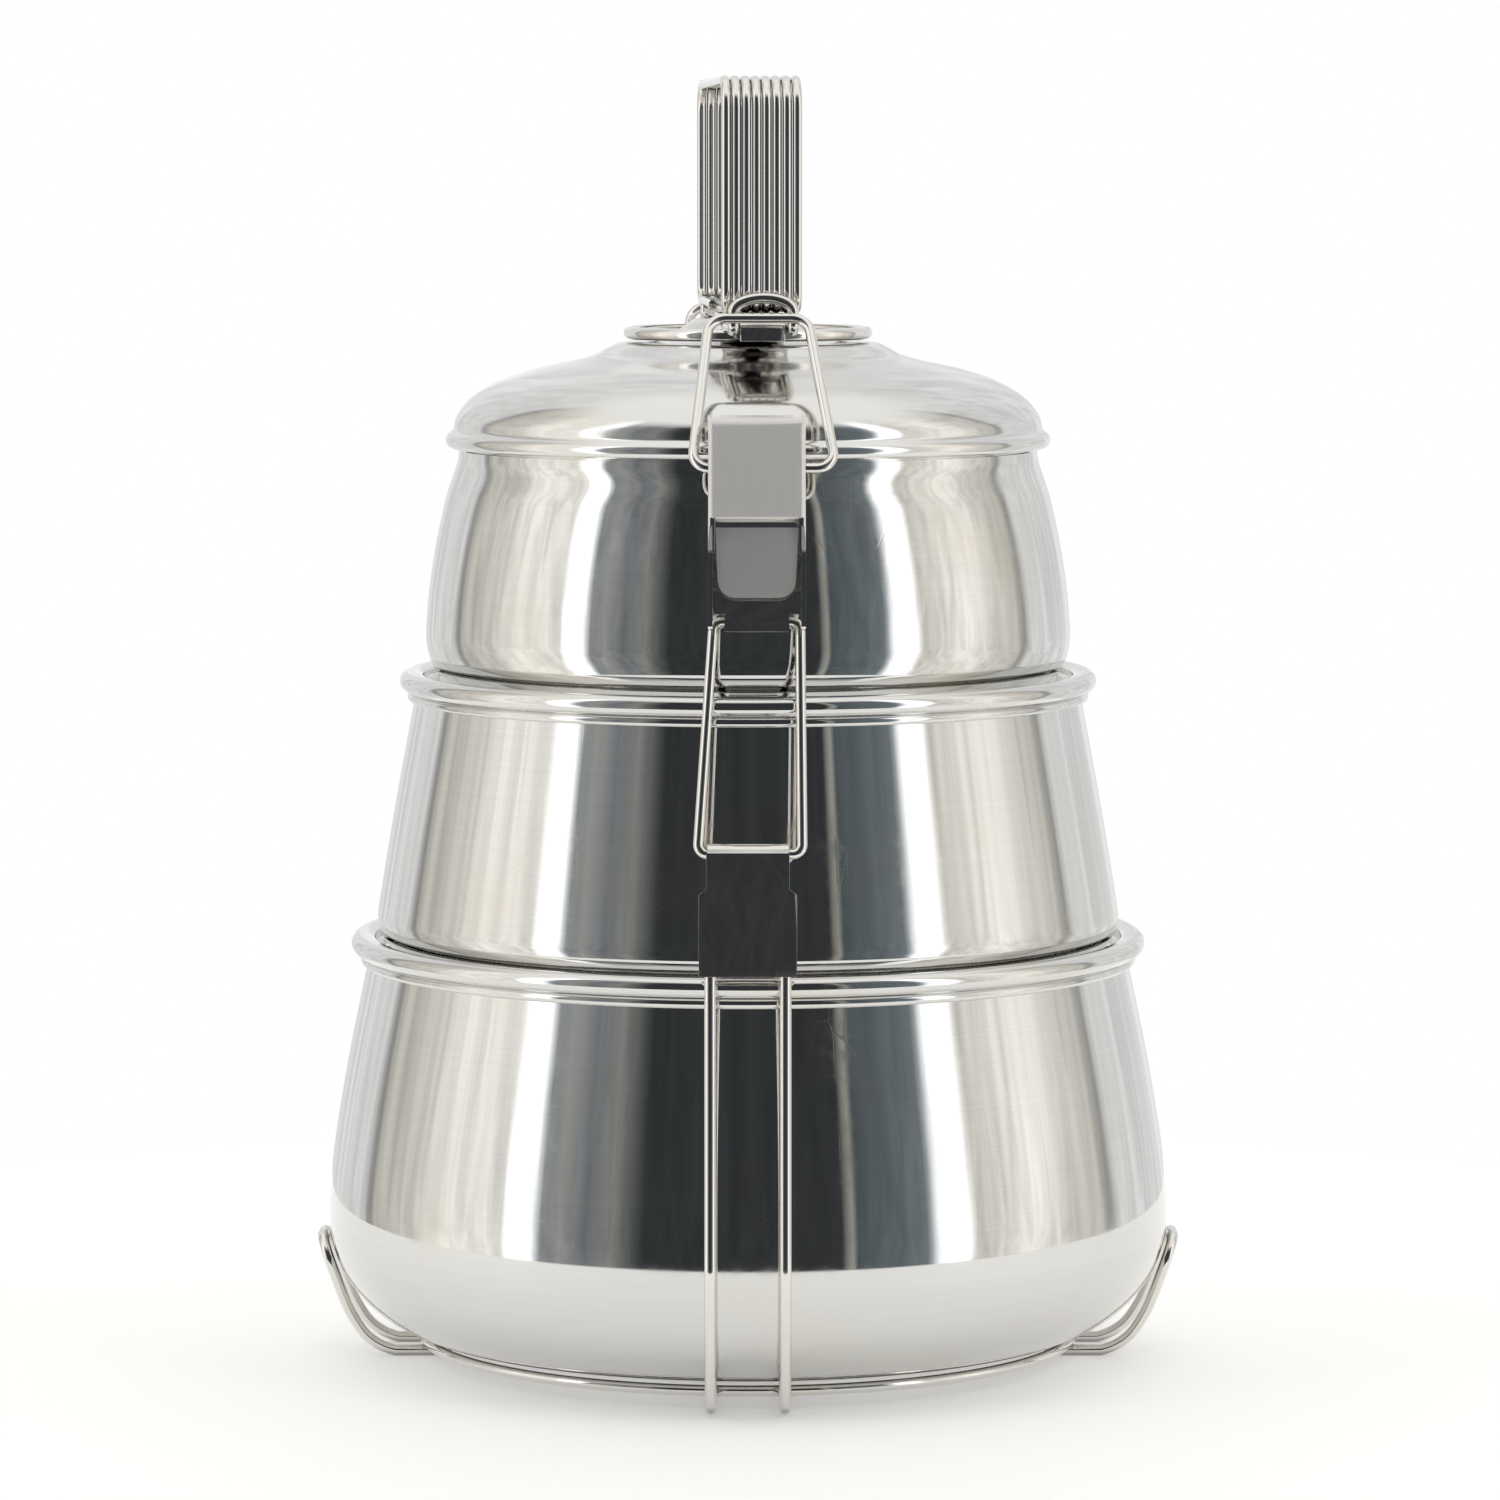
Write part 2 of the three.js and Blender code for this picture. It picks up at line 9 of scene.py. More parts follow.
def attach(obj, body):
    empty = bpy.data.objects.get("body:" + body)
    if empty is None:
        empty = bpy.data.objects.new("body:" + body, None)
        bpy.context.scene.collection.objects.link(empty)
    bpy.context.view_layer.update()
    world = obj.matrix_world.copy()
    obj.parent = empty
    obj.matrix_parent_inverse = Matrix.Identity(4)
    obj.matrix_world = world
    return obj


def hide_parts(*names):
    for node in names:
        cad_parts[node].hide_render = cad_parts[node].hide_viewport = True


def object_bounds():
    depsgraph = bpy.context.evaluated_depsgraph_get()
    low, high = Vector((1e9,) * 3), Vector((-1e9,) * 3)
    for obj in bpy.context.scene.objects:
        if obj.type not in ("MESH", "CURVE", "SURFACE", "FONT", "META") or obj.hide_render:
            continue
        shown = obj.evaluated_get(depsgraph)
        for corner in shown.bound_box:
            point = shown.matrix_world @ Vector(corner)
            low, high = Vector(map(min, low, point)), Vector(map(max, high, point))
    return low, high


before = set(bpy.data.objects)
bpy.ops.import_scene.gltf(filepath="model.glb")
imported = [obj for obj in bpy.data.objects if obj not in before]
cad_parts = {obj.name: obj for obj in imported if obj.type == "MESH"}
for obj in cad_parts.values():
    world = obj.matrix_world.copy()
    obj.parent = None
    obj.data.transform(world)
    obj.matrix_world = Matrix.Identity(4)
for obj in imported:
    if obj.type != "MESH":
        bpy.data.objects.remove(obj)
CAD_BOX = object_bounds()

MM = 0.001

# ---------------------------------------------------------------- dimensions, millimetres

LATHE_STEPS = 192
WIRE_SIDES = 20
BEND_STEP = 8.0                # turn of one step in a wire bend, degrees
SHEET = 0.9
SMOOTH_BELOW = 40.0            # edges that turn less than this, in degrees, are shaded smooth
STAMPED_SMOOTH_BELOW = 32.0
PRESSED_ABOVE = 38.0           # edges of a stamping that turn more are rounded
BUTT = 0.12                    # half of the gap where a loop's two ends meet

# Bowls: outer wall as (radius, height), from the corner of the base to the rim.
BOTTOM_BOWL = dict(
    base=4.4, flat=58, belly=(83.9, 28.0),
    wall=[(83.7, 34), (82.3, 45), (79.65, 60.4), (75.9, 78.5)],
    low_bead=(76.1, 79.6, 1.15), top_bead=(77.0, 82.7, 2.05),
    mouth=74.3, ledge=71.0, ledge_top=81.4)
MIDDLE_BOWL = dict(
    base=78.9, flat=64, belly=(73.8, 88.4),
    wall=[(72.9, 94.4), (70.2, 110.4), (66.4, 130.9)],
    low_bead=(66.6, 131.9, 1.1), top_bead=(67.2, 134.9, 2.0),
    mouth=64.5, ledge=60.4, ledge_top=134.0)
TOP_BOWL = dict(
    base=131.6, flat=54.5, belly=(64.0, 144.5),
    wall=[(63.4, 152.4), (61.9, 162.4), (59.6, 172.4), (57.6, 178.4), (57.3, 180.65)])

# Lid: outer surface from the centre to the top of the rim bead.
LID_TOP = [(0, 206.5), (10.6, 206.5), (17.6, 202.3), (25.6, 201.8), (31, 199.2), (42.4, 196.5),
           (49.6, 194.1), (55.0, 190.8), (57.8, 187.2), (58.4, 184.7)]
LID_BEAD = (58.2, 182.7, 1.7)
LID_PLUG = dict(outer=56.0, bottom=177.6, wall=0.9)
LID_RING = dict(radius=23.4, wire=2.5, z=203.8)

ARM_WIRE = 2.31
ARM_X = 7.05
ARM_SIDE = [(79.05, 98.7), (80.55, 82), (83.4, 50), (85.3, 34), (85.5, 28), (84.6, 22),
            (82.4, 15.2), (79.4, 9.6), (75.6, 4.6), (72.4, 2.0), (69.0, ARM_WIRE / 2)]
BASE_RING = dict(radius=65, wire=2.15, z=3.68)
LOOP_WIRE = 2.2
LOOP_HALF = 7.5
LOOP_BEND = 5.5
LOOP_SIDE = [(59, LOOP_WIRE / 2), (70.5, LOOP_WIRE / 2), (75.6, 3.6), (79.0, 8.2), (81.0, 12.6),
             (82.9, 17.8), (85.05, 23.6)]

LATCH_X = 1.7
LINK_PIVOT = (78.6, 108.2)
LEVER_PIVOT = (64.7, 187.0)
LATCH_LEAN = math.atan2(13.9, 78.8)
LINK_WIRE = 2.0
LINK_BAR_IN_CASE = (-5.3, -35.7)
LINK_BOTTOM = dict(x=0.4, half=9.8, bend=1.8)
LINK_TOP = dict(x=LATCH_X, half=8.15, bend=1.7)
BAIL_WIRE = 2.0
BAIL_IN_LEVER = (0.5, -7.2)
BAIL_BOTTOM = dict(x=3.0, half=13.6, bend=3.2)
BAIL_TOP = dict(x=2.0, half=9.4, bend=3.6, r=48.8, z=207.8)
LEVER_PLATE_END = -16.9        # below the plate a step leads in to the satin tongue
LEVER_STEP_END = -18.6

HARDWARE_TURN = math.radians(3.7)
HOOK_WIRE = 2.2
HOOK = dict(half=5.75, r=46.0, foot=205.4, shoulder=208.6, crown=211.6, inner=27.5)
COIL = dict(wire=1.88, pitch=1.95, turns=8, reach=41.2, low=209.4, high=253.1, top_bend=6.0,
            low_bend=3.4)

# ---------------------------------------------------------------- camera

CAMERA_PLACE = Vector((0.0004, -1.3, 0.238))
CAMERA_PITCH = math.radians(5.155)
CAMERA_LENS = 157.2


def add_camera():
    data = bpy.data.cameras.new("camera")
    data.lens = CAMERA_LENS
    data.sensor_width = 36.0
    data.clip_start = 0.05
    camera = bpy.data.objects.new("camera", data)
    camera.location = CAMERA_PLACE
    camera.rotation_euler = (math.pi / 2 - CAMERA_PITCH, 0, 0)
    bpy.context.collection.objects.link(camera)
    bpy.context.scene.camera = camera


# ---------------------------------------------------------------- lines

def arc(cx, cy, radius, start, end, steps):
    """Points on an arc in a plane, both ends included. Angles in degrees."""
    turns = [math.radians(start + (end - start) * i / steps) for i in range(steps + 1)]
    return [(cx + radius * math.cos(a), cy + radius * math.sin(a)) for a in turns]


def smooth_line(points, steps):
    """A centripetal Catmull-Rom curve through the points, with so many steps between each two."""
    points = [Vector(p) for p in points]
    ends = [2 * points[0] - points[1]] + points + [2 * points[-1] - points[-2]]
    line = []
    for p0, p1, p2, p3 in zip(ends, ends[1:], ends[2:], ends[3:]):
        t1 = (p1 - p0).length ** 0.5
        t2 = t1 + (p2 - p1).length ** 0.5
        t3 = t2 + (p3 - p2).length ** 0.5
        for i in range(steps):
            t = t1 + (t2 - t1) * i / steps
            a1 = p0.lerp(p1, t / t1)
            a2 = p1.lerp(p2, (t - t1) / (t2 - t1))
            a3 = p2.lerp(p3, (t - t2) / (t3 - t2))
            b1 = a1.lerp(a2, t / t2)
            b2 = a2.lerp(a3, (t - t1) / (t3 - t1))
            line.append(b1.lerp(b2, (t - t1) / (t2 - t1)))
    return line + [points[-1]]


def offset(line, distance):
    """Moves an open plane line sideways, to the right of its direction."""
    line = [Vector(p) for p in line]
    out = []
    for i, point in enumerate(line):
        before = (point - line[i - 1] if i else line[1] - point).normalized()
        after = (line[i + 1] - point if i < len(line) - 1 else before).normalized()
        along = (before + after).normalized()
        normal = Vector((along.y, -along.x))
        out.append(point + normal * (distance / max(along.dot(before), 0.5)))
    return out


def rounded(corners):
    """Rounds the corners of a line. Each corner is a place with its bend radius."""
    out = [corners[0][0]]
    for (last, _), (at, bend), (following, _) in zip(corners, corners[1:], corners[2:]):
        to, away = (last - at).normalized(), (following - at).normalized()
        turn = math.pi - to.angle(away)
        if not bend or turn < 0.02:
            out.append(at)
            continue
        centre = at + (to + away).normalized() * (bend / math.cos(turn / 2))
        start = at + to * (bend * math.tan(turn / 2)) - centre
        axis = start.cross(at + away * (bend * math.tan(turn / 2)) - centre).normalized()
        steps = max(3, math.ceil(math.degrees(turn) / BEND_STEP))
        out += [centre + Quaternion(axis, turn * k / steps) @ start for k in range(steps + 1)]
    return out + [corners[-1][0]]


# ---------------------------------------------------------------- meshes

def mesh_object(name, vertices, faces):
    """A smooth-shaded object from points in millimetres, with its sharp edges kept."""
    mesh = bpy.data.meshes.new(name)
    mesh.from_pydata([Vector(v) * MM for v in vertices], [], faces)
    build = bmesh.new()
    build.from_mesh(mesh)
    bmesh.ops.recalc_face_normals(build, faces=build.faces)
    build.to_mesh(mesh)
    build.free()
    mesh.shade_smooth()
    mesh.set_sharp_from_angle(angle=math.radians(SMOOTH_BELOW))
    obj = bpy.data.objects.new(name, mesh)
    bpy.context.collection.objects.link(obj)
    return obj


def lathe(name, profile, closed=False):
    """Turns a profile round the Z axis. An open profile starts and ends on the axis."""
    vertices, rings, faces = [], [], []
    for r, z in profile:
        if r < 1e-6:
            rings.append([len(vertices)] * LATHE_STEPS)
            vertices.append((0, 0, z))
            continue
        rings.append(list(range(len(vertices), len(vertices) + LATHE_STEPS)))
        for k in range(LATHE_STEPS):
            a = 2 * math.pi * k / LATHE_STEPS
            vertices.append((r * math.cos(a), r * math.sin(a), z))
    pairs = list(zip(rings, rings[1:])) + ([(rings[-1], rings[0])] if closed else [])
    for low, high in pairs:
        for k in range(LATHE_STEPS):
            n = (k + 1) % LATHE_STEPS
            face = dict.fromkeys((low[k], low[n], high[n], high[k]))
            if len(face) > 2:
                faces.append(tuple(face))
    return mesh_object(name, vertices, faces)


def sweep(points, diameter):
    """Vertices and faces of a round wire along a line of points, with flat ends."""
    points = [Vector(p) for p in points]
    count = len(points)
    radius = diameter / 2
    tangents = []
    for i, point in enumerate(points):
        ahead = points[i + 1] if i < count - 1 else point
        behind = points[i - 1] if i else point
        tangents.append((ahead - behind).normalized())
    side = tangents[0].orthogonal().normalized()
    vertices, rings = [], []
    for i, (point, tangent) in enumerate(zip(points, tangents)):
        if i:
            side = tangents[i - 1].rotation_difference(tangent) @ side
        up = tangent.cross(side)
        rings.append(list(range(len(vertices), len(vertices) + WIRE_SIDES)))
        for k in range(WIRE_SIDES):
            a = 2 * math.pi * (k + 0.5) / WIRE_SIDES
            vertices.append(point + (side * math.cos(a) + up * math.sin(a)) * radius)
    faces = [(a[k], a[(k + 1) % WIRE_SIDES], b[(k + 1) % WIRE_SIDES], b[k])
             for a, b in zip(rings, rings[1:]) for k in range(WIRE_SIDES)]
    faces += [tuple(reversed(rings[0])), tuple(rings[-1])]
    return vertices, faces


def wire(name, points, diameter, turn=0.0):
    vertices, faces = sweep(points, diameter)
    spin = Matrix.Rotation(turn, 3, "Z")
    return mesh_object(name, [spin @ v for v in vertices], faces)


def ring(name, radius, diameter, z):
    return lathe(name, arc(radius, z, diameter / 2, 0, 360, 24)[:-1], closed=True)


def softened(node, width, name):
    """A copy of a stamped CAD node with its pressed edges rounded."""
    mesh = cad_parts[node].data.copy()
    build = bmesh.new()
    build.from_mesh(mesh)
    bmesh.ops.remove_doubles(build, verts=build.verts, dist=1e-6)
    bmesh.ops.dissolve_limit(build, angle_limit=math.radians(1), verts=build.verts,
                             edges=build.edges)
    edges = [e for e in build.edges
             if e.is_manifold and e.calc_face_angle() > math.radians(PRESSED_ABOVE)]
    bmesh.ops.bevel(build, geom=edges, offset=width * MM, segments=2, profile=0.5,
                    affect="EDGES", clamp_overlap=True, harden_normals=False)
    bmesh.ops.triangulate(build, faces=[f for f in build.faces if len(f.verts) > 4])
    build.to_mesh(mesh)
    build.free()
    mesh.shade_smooth()
    mesh.set_sharp_from_angle(angle=math.radians(STAMPED_SMOOTH_BELOW))
    obj = bpy.data.objects.new(name, mesh)
    obj.matrix_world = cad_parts[node].matrix_world
    bpy.context.collection.objects.link(obj)
    return obj


# ---------------------------------------------------------------- steel

class Nodes:
    """Short calls for building a node tree."""

    def __init__(self, tree):
        self.tree = tree

    def add(self, kind, **inputs):
        node = self.tree.nodes.new(kind)
        for key, value in inputs.items():
            if key.startswith("_"):
                setattr(node, key[1:], value)
            else:
                self.put(node.inputs[key.replace("_", " ")], value)
        return node

    def put(self, socket, value):
        if isinstance(value, bpy.types.NodeSocket):
            self.tree.links.new(value, socket)
        else:
            socket.default_value = value

    def math(self, operation, a, b=0.0, clamp=False):
        node = self.tree.nodes.new("ShaderNodeMath")
        node.operation, node.use_clamp = operation, clamp
        self.put(node.inputs[0], a)
        self.put(node.inputs[1], b)
        return node.outputs[0]

    def span(self, value, low, high, to_low=0.0, to_high=1.0):
        node = self.add("ShaderNodeMapRange", Value=value, From_Min=low, From_Max=high,
                        To_Min=to_low, To_Max=to_high)
        return node.outputs["Result"]

    def noise(self, vector, scale, detail=3.0, rough=0.55, distortion=0.0):
        node = self.add("ShaderNodeTexNoise", Vector=vector, Scale=scale, Detail=detail,
                        Roughness=rough, Distortion=distortion)
        return node.outputs["Fac"]

    def mix(self, factor, a, b):
        node = self.tree.nodes.new("ShaderNodeMix")
        node.data_type = "RGBA"
        self.put(node.inputs[0], factor)
        self.put(node.inputs[6], a)
        self.put(node.inputs[7], b)
        return node.outputs[2]


def polishing_lines(n, place, turned):
    """Coordinates that run slowly along the polishing marks and fast across them."""
    axes = n.add("ShaderNodeSeparateXYZ", Vector=place).outputs
    if not turned:
        return n.add("ShaderNodeCombineXYZ", X=n.math("MULTIPLY", axes[0], 3000.0),
                     Y=n.math("MULTIPLY", axes[1], 60.0),
                     Z=n.math("MULTIPLY", axes[2], 60.0)).outputs[0]
    radius = n.math("SQRT", n.math("ADD", n.math("POWER", axes[0], 2.0),
                                   n.math("POWER", axes[1], 2.0)))
    across = n.math("ADD", axes[2], n.math("MULTIPLY", radius, 0.8))
    return n.add("ShaderNodeCombineXYZ", X=n.math("MULTIPLY", axes[0], 14.0),
                 Y=n.math("MULTIPLY", axes[1], 14.0),
                 Z=n.math("MULTIPLY", across, 2600.0)).outputs[0]


def steel(name, colour, rough, smudge, line, turned=False, wave=0.0, painted_crevice_shade=0.0, metallic=1.0):
    """Polished or satin stainless steel: polishing marks, hairline scratches, smudges and a
    faint warm tint, with painted shade darkening crevices and joins; wave is the height in
    millimetres of the unevenness of pressed sheet."""
    material = bpy.data.materials.new(name)
    material.use_nodes = True
    n = Nodes(material.node_tree)
    shader = material.node_tree.nodes["Principled BSDF"]
    place = n.add("ShaderNodeTexCoord").outputs["Object"]

    marks = n.noise(polishing_lines(n, place, turned), 1.0, 2.0)
    patches = n.noise(place, 38.0, 4.0, 0.6, 0.4)
    prints = n.noise(place, 160.0, 5.0, 0.65, 0.8)
    cells = n.add("ShaderNodeTexVoronoi", _feature="DISTANCE_TO_EDGE", Scale=130.0,
                  Vector=n.add("ShaderNodeMapping", Vector=place,
                               Scale=(1.0, 1.0, 0.22)).outputs[0]).outputs[0]
    scratch = n.math("MULTIPLY", n.span(cells, 0.0, 0.012, 1.0, 0.0),
                     n.span(patches, 0.56, 0.64))

    smear = n.math("MULTIPLY", n.span(patches, 0.45, 0.7), n.span(prints, 0.35, 0.65))
    roughness = n.math("ADD", rough, n.math("MULTIPLY", smear, smudge))
    roughness = n.math("ADD", roughness, n.math("MULTIPLY", n.span(marks, 0.3, 0.7), line))
    roughness = n.math("ADD", roughness, n.math("MULTIPLY", scratch, 0.12), clamp=True)

    dull = [c * 0.95 for c in colour]
    warm = [colour[0] * 0.97, colour[1] * 0.93, colour[2] * 0.84]
    tone = n.mix(n.span(marks, 0.25, 0.75), (*dull, 1), (*colour, 1))
    tone = n.mix(n.math("MULTIPLY", n.span(patches, 0.5, 0.75), 0.5), tone, (*warm, 1))
    # Painted shade: near black is mixed into the colour in crevices and where parts meet, by
    # ambient occlusion within 3 mm.
    if painted_crevice_shade:
        painted_shade_mask = n.add("ShaderNodeAmbientOcclusion", Distance=0.003, _samples=8).outputs["AO"]
        tone = n.mix(n.span(painted_shade_mask, 0.75, 0.2, 0.0, painted_crevice_shade), tone, (0.1, 0.09, 0.075, 1))

    height = n.math("MULTIPLY", marks, 0.006 * line)
    height = n.math("SUBTRACT", height, n.math("MULTIPLY", scratch, 0.002))
    if wave:
        swell = n.noise(place, 24.0, 1.5, 0.4)
        height = n.math("ADD", height, n.math("MULTIPLY", swell, wave))
    bump = n.add("ShaderNodeBump", Strength=1.0, Distance=MM, Height=height)
    n.put(shader.inputs["Base Color"], tone)
    n.put(shader.inputs["Roughness"], roughness)
    n.put(shader.inputs["Normal"], bump.outputs[0])
    shader.inputs["Metallic"].default_value = metallic
    return material


STEEL = {
    "bowl": steel("bowl_steel", (0.73, 0.725, 0.71), 0.03, turned=True, smudge=0.12, line=0.012,
                  wave=0.032),
    "lid": steel("lid_steel", (0.75, 0.745, 0.73), 0.08, turned=True, smudge=0.12, line=0.02,
                 wave=0.008),
    "wire": steel("wire_steel", (0.80, 0.78, 0.75), 0.05, smudge=0.07, line=0.01, painted_crevice_shade=0.6),
    "stamped": steel("stamped_steel", (0.78, 0.76, 0.73), 0.05, smudge=0.10, line=0.012,
                     wave=0.004, painted_crevice_shade=0.5),
    # Painted highlight and shade: the lever plate is near white with little metal so that it
    # shows bright by its own colour, and the tongue of the same sheet is a darker grey.
    "lever": steel("lever_plate_painted_highlight", (0.98, 0.955, 0.93), 0.30, smudge=0.05, line=0.01, wave=0.01,
                   painted_crevice_shade=0.4, metallic=0.25),
    "tongue": steel("tongue_painted_shade", (0.72, 0.72, 0.715), 0.40, smudge=0.05, line=0.012,
                    wave=0.006, painted_crevice_shade=0.4, metallic=0.5),
}


def finish(obj, body, node, slot, *materials):
    """Gives a piece its steel, picked by its slot unless materials are given, ties it to its body
    and hides the CAD node it stands in for.
    """
    obj.data.materials.clear()
    for material in materials or (STEEL[slot],):
        obj.data.materials.append(material)
    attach(obj, body)
    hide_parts(node)


# ---------------------------------------------------------------- bowls and lid

def shell_line(bowl):
    """The outer line of a bowl, from the base's edge round the belly and up the wall."""
    (r, z), flat, base = bowl["belly"], bowl["flat"], bowl["base"]
    turns = [math.pi / 2 * i / 24 for i in range(25)]
    corner = [Vector((flat + (r - flat) * math.sin(a), z - (z - base) * math.cos(a)))
              for a in turns]
    wall = smooth_line([corner[-2], corner[-1], *bowl["wall"]], 10)
    return corner[:-1] + wall[10:]


def rimmed_bowl(name, bowl):
    outer = shell_line(bowl)
    low, top = bowl["low_bead"], bowl["top_bead"]
    mouth, ledge, ledge_top = bowl["mouth"], bowl["ledge"], bowl["ledge_top"]
    rim = [*arc(*low, -45, 62, 8), *arc(*top, -64, 96, 18),
           *arc(mouth + 0.6, top[1] + top[2] - 1.0, 0.6, 100, 180, 4),
           *arc(mouth - 0.7, ledge_top + 1.2, 0.7, 0, -90, 4),
           *arc(ledge + 0.5, ledge_top, 0.5, 90, 180, 4), (ledge, ledge_top - 1.1)]
    inner = offset(outer, -SHEET)[::-1]
    return lathe(name, [(0, bowl["base"]), *outer, *rim, *inner, (0, bowl["base"] + SHEET)])


def plain_bowl(name, bowl):
    outer = shell_line(bowl)
    inner = offset(outer, -SHEET)[::-1]
    return lathe(name, [(0, bowl["base"]), *outer, *inner, (0, bowl["base"] + SHEET)])


def lid_body(name):
    r, z, radius = LID_BEAD
    plug_r, bottom, wall = LID_PLUG["outer"], LID_PLUG["bottom"], LID_PLUG["wall"]
    top = [LID_TOP[0], *smooth_line(LID_TOP[1:], 6)]
    under = offset(top[1:], SHEET)[::-1]
    return lathe(name, [
        *top, *arc(r, z, radius, 60, -90, 14), (plug_r, z - radius), (plug_r, bottom),
        (plug_r - wall, bottom), (plug_r - wall, z - radius + wall), *under,
        (0, LID_TOP[0][1] - SHEET)])


def add_vessels():
    finish(rimmed_bowl("bottom_bowl_shell", BOTTOM_BOWL), "frame", "bottom_bowl", "bowl")
    finish(rimmed_bowl("middle_bowl_shell", MIDDLE_BOWL), "middle_bowl", "middle_bowl", "bowl")
    finish(plain_bowl("top_bowl_shell", TOP_BOWL), "top_bowl", "top_bowl", "bowl")
    finish(lid_body("lid_dome"), "lid", "lid", "lid")
    finish(ring("lid_wire_ring", LID_RING["radius"], LID_RING["wire"], LID_RING["z"]),
           "lid", "lid_ring", "wire")


# ---------------------------------------------------------------- cradle

def add_cradle():
    for side, word in ((-1, "left"), (1, "right")):
        front = smooth_line([Vector((side * ARM_X, -r, z)) for r, z in ARM_SIDE], 5)
        back = [Vector((p.x, -p.y, p.z)) for p in reversed(front)]
        finish(wire(f"cradle_arm_{word}", front + back, ARM_WIRE), "frame",
               f"cradle_wire_{word}", "wire")
        near = smooth_line([Vector((side * r, -LOOP_HALF, z)) for r, z in LOOP_SIDE], 5)
        for point in near:      # the smoothing may not dip below the table
            point.z = max(point.z, LOOP_WIRE / 2)
        far = [Vector((p.x, -p.y, p.z)) for p in reversed(near)]
        corners = [(p, 0) for p in near[:-1]] + [(near[-1], LOOP_BEND), (far[0], LOOP_BEND)]
        corners += [(p, 0) for p in far[1:]]
        finish(wire(f"side_loop_wire_{word}", trimmed(corners), LOOP_WIRE), "frame",
               f"side_loop_{word}", "wire")
    finish(ring("base_wire_ring", BASE_RING["radius"], BASE_RING["wire"], BASE_RING["z"]),
           "frame", "base_ring", "wire")


def trimmed(corners):
    """Rounds a line whose smooth runs come closer to a bend than its radius."""
    kept = [c for c in corners if c[1] or all(
        (c[0] - other[0]).length > other[1] * 1.05 for other in corners if other[1])]
    return rounded(kept)


# ---------------------------------------------------------------- latches

def in_case(t, z):
    """A point given in a front latch case's own side plane."""
    out = Vector((0, -math.cos(LATCH_LEAN), math.sin(LATCH_LEAN)))
    up = Vector((0, math.sin(LATCH_LEAN), math.cos(LATCH_LEAN)))
    return Vector((0, -LEVER_PIVOT[0], LEVER_PIVOT[1])) + out * t + up * z


def wire_loop(name, first, first_at, second, second_at, diameter, turn):
    """A closed loop of wire whose two ends butt in the middle of its first bar."""
    def place(bar, at, side):
        return Vector((bar["x"] + side * bar["half"], at.y, at.z))

    corners = [
        (Vector((first["x"] + BUTT, first_at.y, first_at.z)), 0),
        (place(first, first_at, 1), first["bend"]),
        (place(second, second_at, 1), second["bend"]),
        (place(second, second_at, -1), second["bend"]),
        (place(first, first_at, -1), first["bend"]),
        (Vector((first["x"] - BUTT, first_at.y, first_at.z)), 0)]
    return wire(name, rounded(corners), diameter, turn)


def height_on_lever(point, turn):
    """How far a point of the part, in millimetres, lies up the lever from its pin."""
    pivot = in_case(0, 0)
    return (Matrix.Rotation(-turn, 3, "Z") @ point - pivot).dot(in_case(0, 1) - pivot)


def add_lever(side, turn):
    """The plate is painted bright, a near-white colour with little metal as painted highlight; it
    ends in a polished step, and the satin tongue below that is painted a darker grey as shade.
    """
    lever = softened(f"{side}_lever", 0.12, f"{side}_lever_stamping")
    finish(lever, f"{side}_lever", f"{side}_lever", "lever",
           STEEL["lever"], STEEL["stamped"], STEEL["tongue"])
    for face in lever.data.polygons:
        height = height_on_lever(face.center / MM, turn)
        face.material_index = (height < LEVER_PLATE_END) + (height < LEVER_STEP_END)


def add_latch(side, turn):
    bottom = Vector((0, -LINK_PIVOT[0], LINK_PIVOT[1]))
    finish(wire_loop(f"{side}_link_wire", LINK_TOP, in_case(*LINK_BAR_IN_CASE), LINK_BOTTOM,
                     bottom, LINK_WIRE, turn), f"{side}_link", f"{side}_link", "wire")
    top = Vector((0, -BAIL_TOP["r"], BAIL_TOP["z"]))
    finish(wire_loop(f"{side}_bail_wire", BAIL_BOTTOM, in_case(*BAIL_IN_LEVER), BAIL_TOP, top,
                     BAIL_WIRE, turn), f"{side}_bail", f"{side}_bail", "wire")
    finish(softened(f"{side}_anchor_plate", 0.14, f"{side}_anchor_stamping"), "frame",
           f"{side}_anchor_plate", "stamped")
    finish(softened(f"{side}_latch_case", 0.14, f"{side}_case_stamping"), f"{side}_case",
           f"{side}_latch_case", "stamped")
    finish(softened(f"{side}_lever_pin", 0.1, f"{side}_pin_turned"), f"{side}_case",
           f"{side}_lever_pin", "stamped")
    add_lever(side, turn)


# ---------------------------------------------------------------- handle

def hook_line(side):
    half, foot, shoulder, crown = HOOK["half"], HOOK["foot"], HOOK["shoulder"], HOOK["crown"]
    y = side * HOOK["r"]

    def flank(s):
        return [(Vector((s * half, side * HOOK["inner"], foot)), 0),
                (Vector((s * half, y, foot)), 1.6),
                (Vector((s * half, y, shoulder)), 0)]

    rise = crown - shoulder
    arch = [(Vector((-half * math.cos(a), y, shoulder + rise * math.sin(a) ** 0.9)), 0)
            for a in (math.pi * k / 24 for k in range(1, 24))]
    return rounded([*flank(-1), *arch, *reversed(flank(1))])


def coil_line():
    """Turns that stand side by side; each steps over along the bottom run."""
    middle = (COIL["turns"] - 1) / 2
    reach, low, high = COIL["reach"], COIL["low"], COIL["high"]
    corners = [(Vector((-middle * COIL["pitch"], 0, low)), 0)]
    for k in range(COIL["turns"]):
        x = (k - middle) * COIL["pitch"]
        corners += [(Vector((x, reach, low)), COIL["low_bend"]),
                    (Vector((x, reach, high)), COIL["top_bend"]),
                    (Vector((x, -reach, high)), COIL["top_bend"]),
                    (Vector((x, -reach, low)), COIL["low_bend"])]
    corners.append((Vector((middle * COIL["pitch"], 0, low)), 0))
    return rounded(corners)


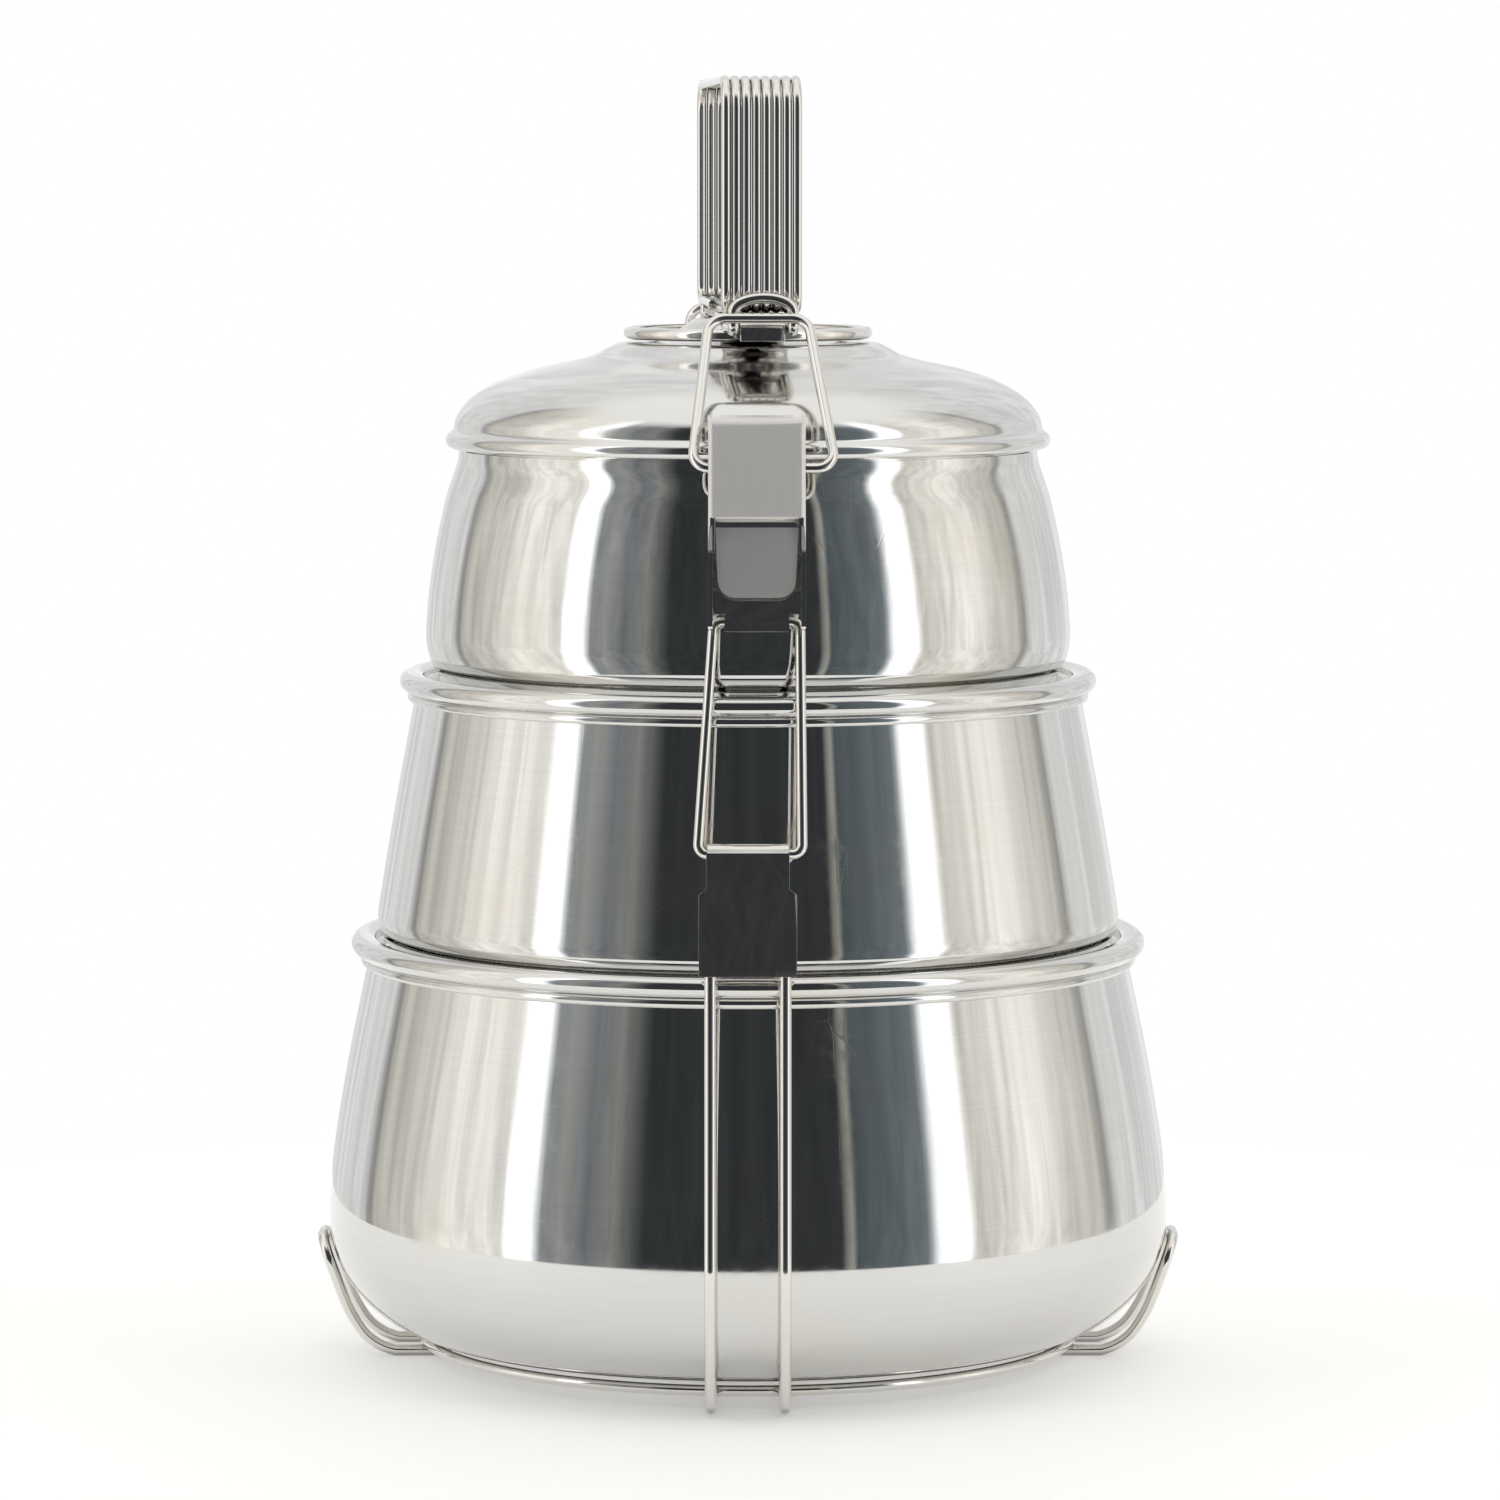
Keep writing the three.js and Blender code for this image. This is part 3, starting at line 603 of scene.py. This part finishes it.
def add_handle():
    finish(wire("handle_coil_wire", coil_line(), COIL["wire"], HARDWARE_TURN), "lid",
           "handle_coil", "wire")
    for side, word in ((-1, "front"), (1, "rear")):
        finish(wire(f"{word}_hook_wire", hook_line(side), HOOK_WIRE, HARDWARE_TURN), "lid",
               f"{word}_hook", "wire")
    finish(softened("handle_strap", 0.16, "handle_strap_stamping"), "lid", "handle_strap",
           "stamped")


# ---------------------------------------------------------------- studio

# Light round the object by azimuth in degrees, 0 towards the camera and 90 to its right:
# grey walls, two bright windows and a dim room behind the camera.
ROOM = [
    (-180, (0.90, 0.91, 0.91)), (-130, (0.86, 0.87, 0.87)), (-126, (0.34, 0.34, 0.33)),
    (-122, (0.66, 0.64, 0.59)), (-104, (0.80, 0.77, 0.72)), (-91, (1.20, 1.16, 1.09)),
    (-78, (1.12, 1.08, 1.02)), (-70, (1.04, 1.02, 0.98)), (-68, (2.0, 2.0, 2.0)),
    (-61, (1.9, 1.94, 1.98)), (-58, (0.32, 0.35, 0.37)), (-52, (0.40, 0.40, 0.39)),
    (-45, (0.22, 0.24, 0.26)), (-37, (0.30, 0.30, 0.29)), (-32, (0.12, 0.13, 0.13)),
    (-28, (0.042, 0.046, 0.050)), (26, (0.042, 0.046, 0.050)), (27.5, (0.55, 0.55, 0.50)),
    (29.5, (0.10, 0.12, 0.13)), (50, (0.20, 0.23, 0.25)), (54, (1.9, 1.94, 1.98)),
    (61, (2.0, 2.0, 2.0)), (64, (0.82, 0.79, 0.74)), (71, (0.92, 0.89, 0.84)),
    (84, (1.22, 1.18, 1.11)), (92, (1.08, 1.04, 0.98)), (100, (0.86, 0.83, 0.78)),
    (112, (0.74, 0.72, 0.67)), (116, (0.36, 0.36, 0.35)), (120, (0.86, 0.87, 0.86)),
    (180, (0.90, 0.91, 0.91))]
CEILING = (1.04, 1.04, 1.02, 1)
CEILING_FROM, CEILING_WHOLE = math.radians(44), math.radians(60)    # elevation
FLOOR_RADIUS = 0.30
FLOOR_COLOUR = (0.93, 0.925, 0.91, 1)
FLOOR_GLOW = 0.3


def add_room():
    world = bpy.data.worlds.new("studio")
    bpy.context.scene.world = world
    world.use_nodes = True
    n = Nodes(world.node_tree)
    background = world.node_tree.nodes["Background"]
    way = n.add("ShaderNodeTexCoord").outputs["Generated"]
    axes = n.add("ShaderNodeSeparateXYZ", Vector=way).outputs
    azimuth = n.math("ARCTAN2", axes[0], n.math("MULTIPLY", axes[1], -1.0))
    ramp = n.add("ShaderNodeValToRGB", Fac=n.span(azimuth, -math.pi, math.pi))
    stops = ramp.color_ramp.elements
    for k, (angle, colour) in enumerate(ROOM):
        at = (angle + 180) / 360
        if k in (0, len(ROOM) - 1):
            stop = stops[0 if k == 0 else -1]
            stop.position = at
        else:
            stop = stops.new(at)
        stop.color = (*colour, 1)
    streaks = n.noise(n.add("ShaderNodeMapping", Vector=way, Scale=(9.0, 9.0, 2.2)).outputs[0],
                      1.6, 4.0, 0.6, 0.6)
    shade = n.span(streaks, 0.35, 0.65, 1.08, 0.8)
    walls = n.mix(1.0, ramp.outputs["Color"], (1, 1, 1, 1))
    walls.node.blend_type = "MULTIPLY"
    n.put(walls.node.inputs[7], shade)
    up = n.math("ARCSINE", axes[2])
    room = n.mix(n.span(up, CEILING_FROM, CEILING_WHOLE), walls, CEILING)
    seen = n.add("ShaderNodeLightPath").outputs["Is Camera Ray"]
    n.put(background.inputs["Color"], n.mix(seen, room, (1, 1, 1, 1)))
    background.inputs["Strength"].default_value = 1.0


def add_floor():
    floor = lathe("floor", [(0, 0), (FLOOR_RADIUS / MM, 0)])
    floor.location.z = CAD_BOX[0].z
    material = bpy.data.materials.new("white_floor")
    material.use_nodes = True
    shader = material.node_tree.nodes["Principled BSDF"]
    shader.inputs["Base Color"].default_value = FLOOR_COLOUR
    shader.inputs["Roughness"].default_value = 0.7
    shader.inputs["Emission Color"].default_value = (1, 1, 1, 1)
    shader.inputs["Emission Strength"].default_value = FLOOR_GLOW
    floor.data.materials.append(material)


# ---------------------------------------------------------------- assembly

add_camera()
add_vessels()
add_cradle()
add_latch("front", 0.0)
add_latch("rear", math.pi)
add_handle()
add_room()
add_floor()
bpy.context.scene.view_settings.view_transform = "Standard"
bpy.context.view_layer.update()
